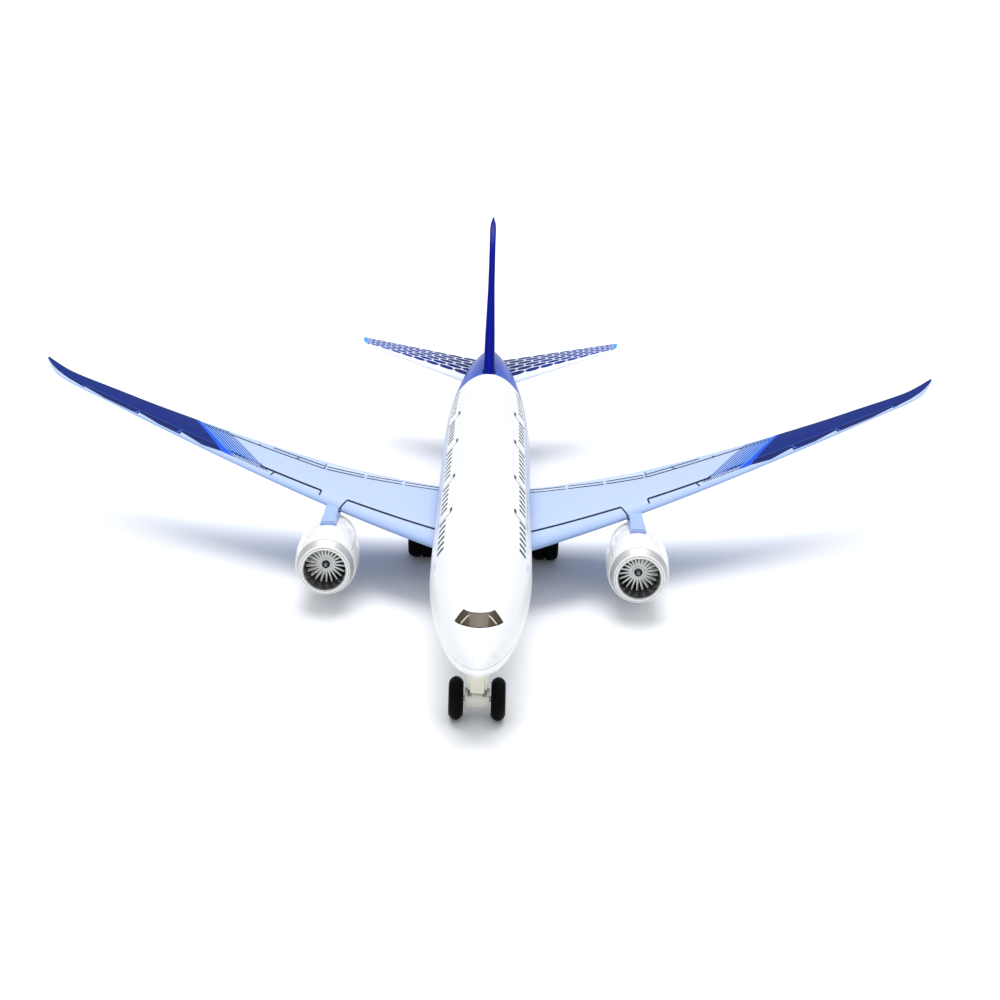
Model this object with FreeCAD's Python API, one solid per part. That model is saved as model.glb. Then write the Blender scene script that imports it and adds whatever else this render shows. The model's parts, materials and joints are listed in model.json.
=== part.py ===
import FreeCAD, Part
import math
import os

# Desktop airliner model: a twin-engine wide-body at about 1:300, moulded in plastic, standing on its wheels.
# Millimetres. +Z is up, the nose points to -Y, so the port side is +X. The origin is on the ground, under the
# middle of the length and of the span. A "station" is the distance aft of the nose tip, and the station of a
# point is turned into a Y coordinate by at_station().

V = FreeCAD.Vector
X_AXIS = V(1, 0, 0)
Y_AXIS = V(0, 1, 0)
Z_AXIS = V(0, 0, 1)
CENTRE = V(0, 0, 0)

# ---- driving dimensions -------------------------------------------------------------------------------------
LENGTH = 188.0              # nose tip to the trailing corner of the fin tip
HALF_SPAN = 101.8
FIN_TOP_Z = 54.0

# fuselage
BODY_HALF_WIDTH = 9.62
BODY_TOP_Z = 26.28
BODY_BOTTOM_Z = 6.38
BODY_WALL = 1.2
NOSE_TIP_Z = 14.4
NOSE_WIDTH_LENGTH = 37.7    # the sides are parallel from this station on
NOSE_TOP_LENGTH = 36.0
NOSE_BOTTOM_LENGTH = 30.6
TAIL_START = 116.0
TAIL_END = 182.0
TAIL_END_TOP_Z = 21.2
TAIL_END_BOTTOM_Z = 19.3
TAIL_END_HALF_WIDTH = 0.95
PARTING_Z = 14.0            # the two body shells meet here, as far aft as PARTING_RISE_START
PARTING_RISE_START = 122.0
PARTING_TAIL_Z = 20.25
FAIRING_START = 52.0        # wing to body fairing under the belly
FAIRING_END = 116.0
FAIRING_HALF_WIDTH = 8.9
FAIRING_BOTTOM_Z = 6.36
FAIRING_TOP_Z = 12.6

# cockpit window, seen from above: half widths and stations of its corners
WINDOW_FRONT = 6.1
WINDOW_CHEEK = (3.3, 7.95)      # a point on the front edge between its middle and its corner
WINDOW_FRONT_HALF_WIDTH = 4.28
WINDOW_FRONT_CORNER = 9.45
WINDOW_BACK = 9.3
WINDOW_BACK_HALF_WIDTH = 2.72
WINDOW_BACK_CORNER = 10.75
WINDOW_THICKNESS = 0.9

# wing
WING_ROOT_X = 9.97
WING_ROOT_LEADING = 61.7
WING_SWEEP = 34.3
WING_KINK_X = 35.0          # the trailing edge turns aft here
WING_ROOT_TRAILING = 100.5
WING_KINK_TRAILING = 104.2
TIP_LEADING_CURL_X = 94.0        # the leading edge starts to curl aft here
TIP_LEADING_CURL = 0.055
TIP_TRAILING_CURL_X = 94.5
TIP_TRAILING_CURL = 0.234
WING_TRAILING_SWEEP = 0.27       # aft per unit of span, just outboard of the kink
WING_TRAILING_CURVE = 0.0016     # how fast that sweep grows
WING_ROOT_Z = 12.9
WING_RISE = 17.0
WING_ROOT_THICKNESS = 0.085     # share of the chord
WING_TIP_THICKNESS = 0.09
WING_EDGE = 0.45            # moulded thickness of a trailing edge
WING_ROOT_TWIST = 1.5       # degrees, nose up
WING_TIP_TWIST = -1.0
WING_TAB = (69.0, 93.0, 11.6, 12.9)     # stations and heights of the tab that plugs into the body
TAB_INNER_X = 6.6

# engines
ENGINE_X = 31.3
ENGINE_Z = 8.85
ENGINE_FRONT = 57.0
LIP_INNER_R = 4.2
LIP_OUTER_R = 5.15
RING_OUTER_R = 5.8
RING_BACK = 2.4
SHROUD_OUTER_R = 4.7
SHROUD_BACK = 5.5
COWL_MAX_R = 6.4
COWL_BACK = 20.2
COWL_BACK_R = 4.9
FAN_FRONT = 3.9
FAN_DEPTH = 1.0
FAN_R = 4.02
FAN_HUB_R = 1.4
FAN_BLADES = 22
BLADE_ROOT_HALF = 0.21
BLADE_TIP_HALF = 0.13
BLADE_PITCH = 14.0
FAN_PIN_R = 0.4
PIN_HEAD_R = 0.85
PYLON_WIDTH = 2.7
PYLON_FRONT = 66.4
PYLON_TOP_Z = 15.9
PYLON_BACK = 92.0
PYLON_FOOT_FLARE = 0.25     # the foot stands this far proud of the pylon on each side

# tail surfaces
FIN_ROOT_Z = 21.6
FIN_ROOT_LEADING = 138.3
FIN_ROOT_TRAILING = 174.6
FIN_TIP_LEADING = 177.2
FIN_THICKNESSES = ((0.0, 2.9), (0.32, 2.4), (0.62, 1.65), (0.86, 1.5), (0.93, 1.55), (0.955, 1.55), (0.975, 1.45),
                   (0.99, 1.2), (1.0, 0.8))
FIN_NOSE = 0.075            # share of the chord taken by the blunt leading edge
FIN_TRAILING_SHARE = 0.4    # thickness at the trailing edge, as a share of the thickest part
FIN_ROUNDING_START = 0.86   # share of the fin's height where its tip starts to round over
FIN_TIP_ROUNDING = 6.0      # how far the leading edge is cut back at the very tip
FIN_SLOT_GAP = 0.22
TAILPLANE_ROOT_LEADING = 153.0
TAILPLANE_ROOT_CHORD = 24.6
TAILPLANE_TIP_X = 32.2
TAILPLANE_TIP_LEADING = 177.4
TAILPLANE_TIP_CHORD = 5.4
TAILPLANE_ROOT_Z = 18.7
TAILPLANE_TIP_Z = 23.1
TAILPLANE_THICKNESS = 0.1   # share of the chord
TAILPLANE_TIP_ROUNDING = 3.0

# landing gear
NOSE_WHEEL_R = 3.9
NOSE_WHEEL_WIDTH = 2.6
NOSE_WHEEL_X = 3.75         # middle of the wheel
NOSE_GEAR_STATION = 10.3
NOSE_AXLE_R = 0.5
NOSE_BLOCK_R = 1.9
NOSE_BLOCK_HALF_WIDTH = 2.2
MAIN_WHEEL_R = 5.4
MAIN_WHEEL_WIDTH = 5.6
MAIN_WHEEL_OUTER_X = 16.0
MAIN_HUB_R = 4.1
HUB_HOLES = 6
HUB_HOLE_R = 0.38
HUB_HOLE_CIRCLE_R = 2.45
MAIN_GEAR_STATION = 90.0
MAIN_AXLE_R = 0.75
RUNNING_GAP = 0.05          # radial clearance of every turning pin or axle

# friction drive: axle gear -> compound idler -> flywheel
MODULE = 0.4
PRESSURE_ANGLE = 25.0
AXLE_GEAR_TEETH = 15
PINION_TEETH = 9
IDLER_TEETH = 17
GEAR_BACKLASH = 0.07
IDLER_OFFSET_ANGLE = 125.0  # direction from axle to idler, from +Y towards +Z
FLYWHEEL_OFFSET_ANGLE = 156.0
FIRST_MESH_X = (-4.0, -2.4)
SECOND_MESH_X = (-2.0, -0.7)
FLYWHEEL_X = (-0.3, 4.3)
FLYWHEEL_R = 4.4
DRIVE_SHAFT_R = 0.5
CASING_HALF_WIDTH = 5.5
CASING_WALL = 0.7
CASING_FRONT = 13.9         # reach of the drive casing ahead of the main axle, and behind it
CASING_BACK = 4.7
CASING_BOTTOM_Z = 1.2
CASING_TOP_Z = 17.4
LEDGE_HALF_WIDTH = 3.6      # the casing's ledges rest inside the belly, ahead of and behind its opening
LEDGE_REACH = 1.6
LEDGE_Z = (8.9, 9.7)
CASING_SCREW_R = 0.4
CASING_SCREW_HEAD_R = 0.75

# fasteners
SCREW_STATIONS = (42.0, 112.0, 148.0)
SCREW_HEAD_R = 1.15
SCREW_SHANK_R = 0.6
SCREW_LENGTH = 7.0
SCREW_GRIP = 3.2            # how much of a body screw is below the parting line
SCREW_HEAD_DEPTH = 0.7
POST_R = 1.6

# steel slug in the nose that keeps the model on its nose wheels
BALLAST_R = 3.6
BALLAST_STATIONS = (20.5, 34.5)
BALLAST_Z = 13.2
SADDLE_STATIONS = (22.5, 31.0)
SADDLE_HALF_WIDTH = 4.6
SADDLE_THICKNESS = 1.2


# ---- helpers ------------------------------------------------------------------------------------------------
def at_station(station):
    return station - LENGTH / 2


def point(x, station, z):
    return V(x, at_station(station), z)


def mirrored(shape):
    return shape.mirror(CENTRE, X_AXIS)


def round_over(fraction, out_power, in_power):
    """0 at the tip and 1 where the round-over ends, with a blunt start."""
    left = 1 - min(max(fraction, 0.0), 1.0)
    return max(1 - left ** out_power, 0.0) ** (1 / in_power)


def closed_curve(points):
    curve = Part.BSplineCurve()
    curve.interpolate(Points=points, PeriodicFlag=True)
    return Part.Wire(curve.toShape())


def box(x_range, station_range, z_range):
    size = V(x_range[1] - x_range[0], station_range[1] - station_range[0], z_range[1] - z_range[0])
    return Part.makeBox(size.x, size.y, size.z, point(x_range[0], station_range[0], z_range[0]))


def prism_along_x(outline, x_range):
    """A side outline of (station, z) points, extruded from one x to another."""
    corners = [point(x_range[0], station, z) for station, z in outline]
    face = Part.Face(Part.makePolygon(corners + corners[:1]))
    return face.extrude(X_AXIS * (x_range[1] - x_range[0]))


def rod_along_x(radius, x_range, station, z):
    return Part.makeCylinder(radius, x_range[1] - x_range[0], point(x_range[0], station, z), X_AXIS)


def rod_along_z(radius, z_range, x, station):
    return Part.makeCylinder(radius, z_range[1] - z_range[0], point(x, station, z_range[0]), Z_AXIS)


def turned(outline, axis):
    """A closed outline of (distance along the axis, radius) points, turned about the X or Y axis."""
    if axis == X_AXIS:
        corners = [V(along, 0, radius) for along, radius in outline]
    else:
        corners = [V(0, along, radius) for along, radius in outline]
    face = Part.Face(Part.makePolygon(corners + corners[:1]))
    return face.revolve(CENTRE, axis, 360)


def moved(shape, x, station, z):
    copy = shape.copy()
    copy.translate(point(x, station, z))
    return copy


# ---- fuselage -----------------------------------------------------------------------------------------------
def body_size(station):
    """Half width, top and bottom of the fuselage at a station."""
    wide = round_over(station / NOSE_WIDTH_LENGTH, 1.85, 1.83)
    high = round_over(station / NOSE_TOP_LENGTH, 2.0, 1.3)
    deep = round_over(station / NOSE_BOTTOM_LENGTH, 1.97, 1.8)
    half_width = BODY_HALF_WIDTH * wide
    top = NOSE_TIP_Z + (BODY_TOP_Z - NOSE_TIP_Z) * high
    bottom = NOSE_TIP_Z + (BODY_BOTTOM_Z - NOSE_TIP_Z) * deep
    aft = (station - TAIL_START) / (TAIL_END - TAIL_START)
    if aft > 0:
        narrowing = (1 - aft ** 1.9) ** 0.85 if aft < 1 else 0.0
        half_width = TAIL_END_HALF_WIDTH + (BODY_HALF_WIDTH - TAIL_END_HALF_WIDTH) * narrowing
        top = BODY_TOP_Z - (BODY_TOP_Z - TAIL_END_TOP_Z) * aft ** 2.4
        bottom = BODY_BOTTOM_Z + (TAIL_END_BOTTOM_Z - BODY_BOTTOM_Z) * aft ** 1.65
    return half_width, top, bottom


def body_section(station, inset):
    half_width, top, bottom = body_size(station)
    smallest = 0.25
    half_width = max(half_width - inset, smallest)
    half_height = max((top - bottom) / 2 - inset, smallest)
    middle = (top + bottom) / 2
    count = 24
    points = []
    for step in range(count):
        angle = 2 * math.pi * step / count
        points.append(point(half_width * math.sin(angle), station, middle - half_height * math.cos(angle)))
    return closed_curve(points)


def body_solid(inset, first, last):
    nose = [first + (NOSE_WIDTH_LENGTH + 2 - first) * (step / 11) ** 2 for step in range(12)]
    straight = [60.0, 88.0, 106.0]
    tail = [TAIL_START + (last - TAIL_START) * step / 9 for step in range(10)]
    return Part.makeLoft([body_section(station, inset) for station in nose + straight + tail], True, False)


def belly_fairing():
    """A flat-bottomed pod under the wing roots, wider than the round belly."""
    sections = []
    steps = 8
    for step in range(steps + 1):
        fraction = step / steps
        station = FAIRING_START + (FAIRING_END - FAIRING_START) * fraction
        swell = math.sin(math.pi * (0.08 + 0.84 * fraction)) ** 0.5
        half_width = FAIRING_HALF_WIDTH * swell
        bottom = BODY_BOTTOM_Z + 2.2 - (BODY_BOTTOM_Z + 2.2 - FAIRING_BOTTOM_Z) * swell
        middle = (FAIRING_TOP_Z + bottom) / 2
        half_height = (FAIRING_TOP_Z - bottom) / 2
        count = 20
        points = []
        for turn in range(count):
            angle = 2 * math.pi * turn / count
            across = math.copysign(abs(math.sin(angle)) ** 0.72, math.sin(angle))
            up = math.copysign(abs(math.cos(angle)) ** 0.72, math.cos(angle))
            points.append(point(half_width * across, station, middle - half_height * up))
        sections.append(closed_curve(points))
    return Part.makeLoft(sections, True, False)


def parting_region(upper):
    limit = 70.0 if upper else -10.0
    ends = LENGTH + 20
    outline = [(-10.0, PARTING_Z), (PARTING_RISE_START, PARTING_Z), (TAIL_END, PARTING_TAIL_Z),
               (ends, PARTING_TAIL_Z), (ends, limit), (-10.0, limit)]
    return prism_along_x(outline, (-30.0, 30.0))


def window_prism():
    """The cockpit window's outline from above, standing through the roof of the nose."""
    bottom_z = 16.0
    cheek_x, cheek_station = WINDOW_CHEEK
    back = point(0, WINDOW_BACK, bottom_z)
    front_port = point(WINDOW_FRONT_HALF_WIDTH, WINDOW_FRONT_CORNER, bottom_z)
    front_starboard = point(-WINDOW_FRONT_HALF_WIDTH, WINDOW_FRONT_CORNER, bottom_z)
    back_port = point(WINDOW_BACK_HALF_WIDTH, WINDOW_BACK_CORNER, bottom_z)
    back_starboard = point(-WINDOW_BACK_HALF_WIDTH, WINDOW_BACK_CORNER, bottom_z)
    front_edge = Part.BSplineCurve()
    front_edge.interpolate([front_starboard, point(-cheek_x, cheek_station, bottom_z),
                            point(0, WINDOW_FRONT, bottom_z), point(cheek_x, cheek_station, bottom_z),
                            front_port])
    edges = [front_edge.toShape(),
             Part.LineSegment(front_port, back_port).toShape(),
             Part.Arc(back_port, back, back_starboard).toShape(),
             Part.LineSegment(back_starboard, front_starboard).toShape()]
    return Part.Face(Part.Wire(edges)).extrude(Z_AXIS * 12)


def screw_posts():
    """Posts inside the roof that the body screws bite into, and their pilot holes."""
    posts = []
    holes = []
    for station in SCREW_STATIONS:
        floor = parting_height(station)
        top = body_size(station)[1] - BODY_WALL / 2
        posts.append(rod_along_z(POST_R, (floor, top), 0, station))
        holes.append(rod_along_z(SCREW_SHANK_R, (floor - 1, floor + SCREW_LENGTH), 0, station))
    return posts, holes


def parting_height(station):
    rise = (station - PARTING_RISE_START) / (TAIL_END - PARTING_RISE_START)
    return PARTING_Z + (PARTING_TAIL_Z - PARTING_Z) * max(rise, 0.0)


def upper_shell(outer, inner, fin_slot, tailplane):
    shell = outer.common(parting_region(True)).cut(inner)
    shell = shell.cut(window_prism())
    posts, holes = screw_posts()
    shell = shell.fuse([post.common(parting_region(True)) for post in posts])
    return shell.cut(holes).cut(fin_slot).cut(tailplane)


def lower_shell(outer, inner, wing_tab, tailplane, nose_leg):
    shell = outer.common(parting_region(False)).cut(inner)
    bosses = []
    sinks = []
    for station in SCREW_STATIONS:
        belly = body_size(station)[2]
        floor = parting_height(station)
        bosses.append(rod_along_z(POST_R + 0.2, (belly + BODY_WALL / 2, floor), 0, station))
        head_seat = floor - SCREW_LENGTH + SCREW_GRIP
        sinks.append(rod_along_z(SCREW_SHANK_R, (belly - 2, floor + 1), 0, station))
        sinks.append(rod_along_z(SCREW_HEAD_R + 0.1, (belly - 2, head_seat), 0, station))
    shell = shell.fuse([boss.common(parting_region(False)) for boss in bosses])
    shell = shell.fuse(ballast_cradle().common(parting_region(False)))
    shell = shell.cut(sinks)
    shell = shell.cut([wing_tab, mirrored(wing_tab), tailplane, nose_leg])
    return shell.cut(drive_opening())


def cockpit_window(outer):
    lining = body_solid(WINDOW_THICKNESS, 1.5, 150.0)
    return outer.cut(lining).common(window_prism())


# ---- wings, fin and tailplane -------------------------------------------------------------------------------
def aerofoil(leading, trailing, thickness, edge, place):
    """A closed section; place(station, height) gives the 3-D point."""
    chord = trailing - leading
    count = 13
    upper = []
    lower = []
    for step in range(count + 1):
        along = 0.5 * (1 - math.cos(math.pi * step / count))
        half = 5 * thickness * (0.2969 * math.sqrt(along) - 0.126 * along - 0.3516 * along ** 2
                                + 0.2843 * along ** 3 - 0.1036 * along ** 4)
        half = half * chord + edge / 2 * along
        upper.append(place(leading + chord * along, half))
        lower.append(place(leading + chord * along, -half))
    skin = Part.BSplineCurve()
    skin.interpolate(upper[::-1] + lower[1:])
    closing = Part.LineSegment(lower[-1], upper[-1])
    return Part.Wire([skin.toShape(), closing.toShape()])


def wing_leading(x):
    """Straight and swept, then curling aft over the last part of the span."""
    straight = WING_ROOT_LEADING + (x - WING_ROOT_X) * math.tan(math.radians(WING_SWEEP))
    return straight + TIP_LEADING_CURL * max(x - TIP_LEADING_CURL_X, 0.0) ** 2.4


def wing_trailing(x):
    if x < WING_KINK_X:
        fraction = max((x - WING_ROOT_X) / (WING_KINK_X - WING_ROOT_X), 0.0)
        return WING_ROOT_TRAILING + (WING_KINK_TRAILING - WING_ROOT_TRAILING) * fraction ** 1.3
    outboard = x - WING_KINK_X
    curved = WING_KINK_TRAILING + WING_TRAILING_SWEEP * outboard + WING_TRAILING_CURVE * outboard ** 2
    return curved + TIP_TRAILING_CURL * max(x - TIP_TRAILING_CURL_X, 0.0) ** 1.4


def wing_height(x):
    fraction = (x - WING_ROOT_X) / (HALF_SPAN - WING_ROOT_X)
    return WING_ROOT_Z + WING_RISE * (0.45 * fraction + 0.9 * fraction ** 2 - 0.35 * fraction ** 3)


def wing_section(x):
    fraction = max((x - WING_ROOT_X) / (HALF_SPAN - WING_ROOT_X), 0.0)
    thickness = WING_ROOT_THICKNESS + (WING_TIP_THICKNESS - WING_ROOT_THICKNESS) * fraction
    height = wing_height(x)
    leading = wing_leading(x)
    trailing = wing_trailing(x)
    twist = math.radians(WING_ROOT_TWIST + (WING_TIP_TWIST - WING_ROOT_TWIST) * fraction)

    def place(station, up):
        return point(x, station, height + up - (station - leading) * math.tan(twist))

    return aerofoil(leading, trailing, thickness, WING_EDGE, place)


def pylon():
    """Side outline: a blunt nose, a top that runs back under the wing, and a belly that lies in the cowl."""
    outline = [(PYLON_FRONT, PYLON_TOP_Z - 1.2), (PYLON_FRONT + 0.4, PYLON_TOP_Z - 0.1),
               (PYLON_FRONT + 9.6, PYLON_TOP_Z - 0.15), (PYLON_BACK - 8.0, PYLON_TOP_Z - 0.8),
               (PYLON_BACK, PYLON_TOP_Z - 1.1), (PYLON_BACK, PYLON_TOP_Z - 1.6),
               (PYLON_BACK - 7.0, PYLON_TOP_Z - 3.2), (PYLON_FRONT + 11.1, PYLON_TOP_Z - 3.6),
               (PYLON_FRONT + 4.5, PYLON_TOP_Z - 2.2)]
    half = PYLON_WIDTH / 2
    return prism_along_x(outline, (ENGINE_X - half, ENGINE_X + half))


def pylon_foot():
    """The flared foot of the pylon, sunk into the top of the cowl."""
    half = PYLON_WIDTH / 2 + PYLON_FOOT_FLARE
    front = PYLON_FRONT - 0.2
    outline = [(front, PYLON_TOP_Z - 1.4), (front + 0.2, PYLON_TOP_Z - 0.35), (front + 2.1, PYLON_TOP_Z - 0.2),
               (front + 10.1, PYLON_TOP_Z - 1.4), (front + 10.1, PYLON_TOP_Z - 3.0),
               (front + 4.7, PYLON_TOP_Z - 2.2)]
    return prism_along_x(outline, (ENGINE_X - half, ENGINE_X + half))


def wing_tab():
    first, last, low, high = WING_TAB
    return box((TAB_INNER_X, WING_ROOT_X + 0.6), (first, last), (low, high))


def wing(outer):
    spans = [TAB_INNER_X + 0.4, WING_ROOT_X, 16.0, 24.0, WING_KINK_X, 46.0, 58.0, 70.0, 80.0, 88.0, 94.0, 97.0,
             99.4, 100.9, HALF_SPAN]
    panel = Part.makeLoft([wing_section(x) for x in spans], True, False)
    panel = panel.cut(outer)
    panel = panel.fuse([wing_tab(), pylon(), pylon_foot()])
    cowl_bore_r = COWL_MAX_R - 0.95
    engine_bore = Part.makeCylinder(cowl_bore_r, COWL_BACK + 1, point(ENGINE_X, ENGINE_FRONT, ENGINE_Z), Y_AXIS)
    return panel.cut(engine_bore)


def fin_thickness(fraction):
    """Thickness at a share of the fin's height, straight between the listed heights."""
    for (low, thick), (high, next_thick) in zip(FIN_THICKNESSES, FIN_THICKNESSES[1:]):
        if fraction <= high:
            return thick + (next_thick - thick) * (fraction - low) / (high - low)
    return FIN_THICKNESSES[-1][1]


def fin_section(z, grow):
    """A blunt rounded nose, then sides that taper gently to a square trailing edge."""
    fraction = (z - FIN_ROOT_Z) / (FIN_TOP_Z - FIN_ROOT_Z)
    rounding = FIN_TIP_ROUNDING * max((fraction - FIN_ROUNDING_START) / (1 - FIN_ROUNDING_START), 0.0) ** 2.2
    leading = FIN_ROOT_LEADING + (FIN_TIP_LEADING - FIN_ROOT_LEADING) * fraction + rounding - grow
    trailing = FIN_ROOT_TRAILING + (LENGTH - FIN_ROOT_TRAILING) * fraction + grow
    half = fin_thickness(fraction) / 2 + grow
    count = 14
    port = []
    starboard = []
    for step in range(count + 1):
        along = (step / count) ** 2
        blunt = (1 - max(1 - along / FIN_NOSE, 0.0) ** 2.2) ** (1 / 2.2)
        taper = 1 - (1 - FIN_TRAILING_SHARE) * max(along - FIN_NOSE, 0.0) / (1 - FIN_NOSE)
        station = leading + (trailing - leading) * along
        port.append(point(half * blunt * taper, station, z))
        starboard.append(point(-half * blunt * taper, station, z))
    skin = Part.BSplineCurve()
    skin.interpolate(port[::-1] + starboard[1:])
    closing = Part.LineSegment(starboard[-1], port[-1])
    return Part.Wire([skin.toShape(), closing.toShape()])


def tail_fin():
    fractions = [0.0, 0.32, 0.62, FIN_ROUNDING_START, 0.9, 0.93, 0.955, 0.975, 0.99, 1.0]
    heights = [FIN_ROOT_Z + (FIN_TOP_Z - FIN_ROOT_Z) * fraction for fraction in fractions]
    return Part.makeLoft([fin_section(z, 0.0) for z in heights], True, True)


def fin_slot():
    """The slot in the roof, a little larger than the fin all round. Its floor carries the fin."""
    below = FIN_ROOT_Z
    above = BODY_TOP_Z + 3.0
    return Part.makeLoft([fin_section(z, FIN_SLOT_GAP) for z in (below, above)], True, True)


def tailplane_section(x):
    fraction = x / TAILPLANE_TIP_X
    rounding = TAILPLANE_TIP_ROUNDING * max((fraction - 0.9) / 0.1, 0.0) ** 2
    leading = TAILPLANE_ROOT_LEADING + (TAILPLANE_TIP_LEADING - TAILPLANE_ROOT_LEADING) * fraction + rounding
    chord = TAILPLANE_ROOT_CHORD + (TAILPLANE_TIP_CHORD - TAILPLANE_ROOT_CHORD) * fraction - rounding
    height = TAILPLANE_ROOT_Z + (TAILPLANE_TIP_Z - TAILPLANE_ROOT_Z) * fraction

    def place(station, up):
        return point(x, station, height + up)

    return aerofoil(leading, leading + chord, TAILPLANE_THICKNESS, WING_EDGE, place)


def tailplane():
    fractions = [0.0, 0.2, 0.45, 0.7, 0.9, 0.96, 1.0]
    sections = [tailplane_section(TAILPLANE_TIP_X * fraction) for fraction in fractions]
    half = Part.makeLoft(sections, True, False)
    return half.fuse(mirrored(half))


# ---- engines ------------------------------------------------------------------------------------------------
# Each piece is turned about the Y axis with y = 0 at the front of the lip, and placed on the port side.
def to_port_engine(shape):
    return moved(shape, ENGINE_X, ENGINE_FRONT, ENGINE_Z)


def engine_lip():
    """White inlet lip with the fan duct behind it."""
    round_r = 0.32
    outline = [(round_r, LIP_INNER_R), (0.08, LIP_INNER_R + 0.12), (0.0, LIP_INNER_R + round_r),
               (0.0, LIP_OUTER_R - 0.3), (0.12, LIP_OUTER_R - 0.08), (0.4, LIP_OUTER_R), (0.6, LIP_OUTER_R),
               (0.6, SHROUD_OUTER_R), (SHROUD_BACK, SHROUD_OUTER_R), (SHROUD_BACK, LIP_INNER_R)]
    return turned(outline, Y_AXIS)


def intake_ring():
    outline = [(0.6, SHROUD_OUTER_R), (0.6, LIP_OUTER_R + 0.04), (1.3, 5.48), (RING_BACK - 0.15, RING_OUTER_R),
               (RING_BACK, RING_OUTER_R - 0.1), (RING_BACK, SHROUD_OUTER_R)]
    return turned(outline, Y_AXIS)


def engine_cowl(pylon_shape):
    outer = [(RING_BACK, 5.86), (RING_BACK + 0.12, 5.98), (4.4, 6.26), (8.0, COWL_MAX_R), (12.0, 6.2),
             (16.0, 5.62), (COWL_BACK, COWL_BACK_R)]
    ledge = SHROUD_BACK + 1.0
    bore = [(COWL_BACK, COWL_BACK_R - 0.5), (16.0, 4.95), (9.0, 5.3), (ledge, 5.2), (ledge, SHROUD_OUTER_R),
            (RING_BACK, SHROUD_OUTER_R)]
    return to_port_engine(turned(outer + bore, Y_AXIS)).cut(pylon_shape)


def fan():
    """A hub with thin tapered blades, free to turn on its pin."""
    middle = FAN_FRONT + FAN_DEPTH / 2
    hub = turned([(FAN_FRONT - 0.1, FAN_PIN_R + RUNNING_GAP), (FAN_FRONT - 0.1, FAN_HUB_R - 0.25),
                  (FAN_FRONT + 0.15, FAN_HUB_R), (FAN_FRONT + FAN_DEPTH, FAN_HUB_R),
                  (FAN_FRONT + FAN_DEPTH, FAN_PIN_R + RUNNING_GAP)], Y_AXIS)
    inner = FAN_HUB_R - 0.2
    corners = [V(-BLADE_ROOT_HALF, 0, inner), V(BLADE_ROOT_HALF, 0, inner), V(BLADE_TIP_HALF, 0, FAN_R),
               V(-BLADE_TIP_HALF, 0, FAN_R)]
    blade = Part.Face(Part.makePolygon(corners + corners[:1])).extrude(Y_AXIS * FAN_DEPTH * 0.8)
    blade.translate(V(0, FAN_FRONT + FAN_DEPTH * 0.1, 0))
    blade.rotate(V(0, middle, 0), Z_AXIS, BLADE_PITCH)
    blades = []
    for step in range(FAN_BLADES):
        copy = blade.copy()
        copy.rotate(CENTRE, Y_AXIS, 360 * step / FAN_BLADES)
        blades.append(copy)
    return hub.fuse(blades).removeSplitter()


def fan_pin():
    """Domed head, standing just clear of the hub, on a shank pressed into the core."""
    head_front = FAN_FRONT - 0.95
    head_back = FAN_FRONT - 0.15
    outline = [(head_front, 0.0), (head_front + 0.06, 0.35), (head_front + 0.25, 0.63), (head_front + 0.5, 0.8),
               (head_back, PIN_HEAD_R), (head_back, FAN_PIN_R), (7.0, FAN_PIN_R), (7.0, 0.0)]
    return turned(outline, Y_AXIS)


def engine_core():
    """Dark bulkhead behind the fan, with the tail plug that shows in the nozzle."""
    outline = [(SHROUD_BACK, FAN_PIN_R), (SHROUD_BACK, SHROUD_OUTER_R), (SHROUD_BACK + 0.9, SHROUD_OUTER_R),
               (SHROUD_BACK + 0.9, 3.0), (12.0, 2.6), (18.0, 3.0), (20.6, 2.9), (23.4, 2.3), (23.4, 1.5),
               (26.6, 0.25), (26.6, 0.0), (7.0, 0.0), (7.0, FAN_PIN_R)]
    return turned(outline, Y_AXIS)


# ---- landing gear -------------------------------------------------------------------------------------------
def nose_wheel():
    """One moulded wheel with a rounded tyre; turned about X with x = 0 at its middle."""
    half = NOSE_WHEEL_WIDTH / 2
    radius = NOSE_WHEEL_R
    outline = [(-half, NOSE_AXLE_R), (-half, 1.2), (-half + 0.3, 1.3), (-half + 0.3, 2.3),
               (-half + 0.05, 2.5), (-half, 2.9), (-half + 0.3, 3.42), (-half + 0.75, 3.75),
               (-half + 1.2, radius), (half - 1.2, radius), (half - 0.75, 3.75), (half - 0.3, 3.42),
               (half, 2.9), (half - 0.05, 2.5), (half - 0.45, 2.3), (half - 0.45, 1.3),
               (half - 0.1, 1.1), (half - 0.1, NOSE_AXLE_R)]
    return moved(turned(outline, X_AXIS), NOSE_WHEEL_X, NOSE_GEAR_STATION, NOSE_WHEEL_R)


def nose_axle():
    reach = NOSE_WHEEL_X + NOSE_WHEEL_WIDTH / 2 - 0.1
    return rod_along_x(NOSE_AXLE_R, (-reach, reach), NOSE_GEAR_STATION, NOSE_WHEEL_R)


def nose_tongue(grow):
    half = 0.75 + grow
    stations = (NOSE_GEAR_STATION - 1.0 - grow, NOSE_GEAR_STATION + 1.0 + grow)
    return box((-half, half), stations, (NOSE_WHEEL_R, 6.0))


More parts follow.
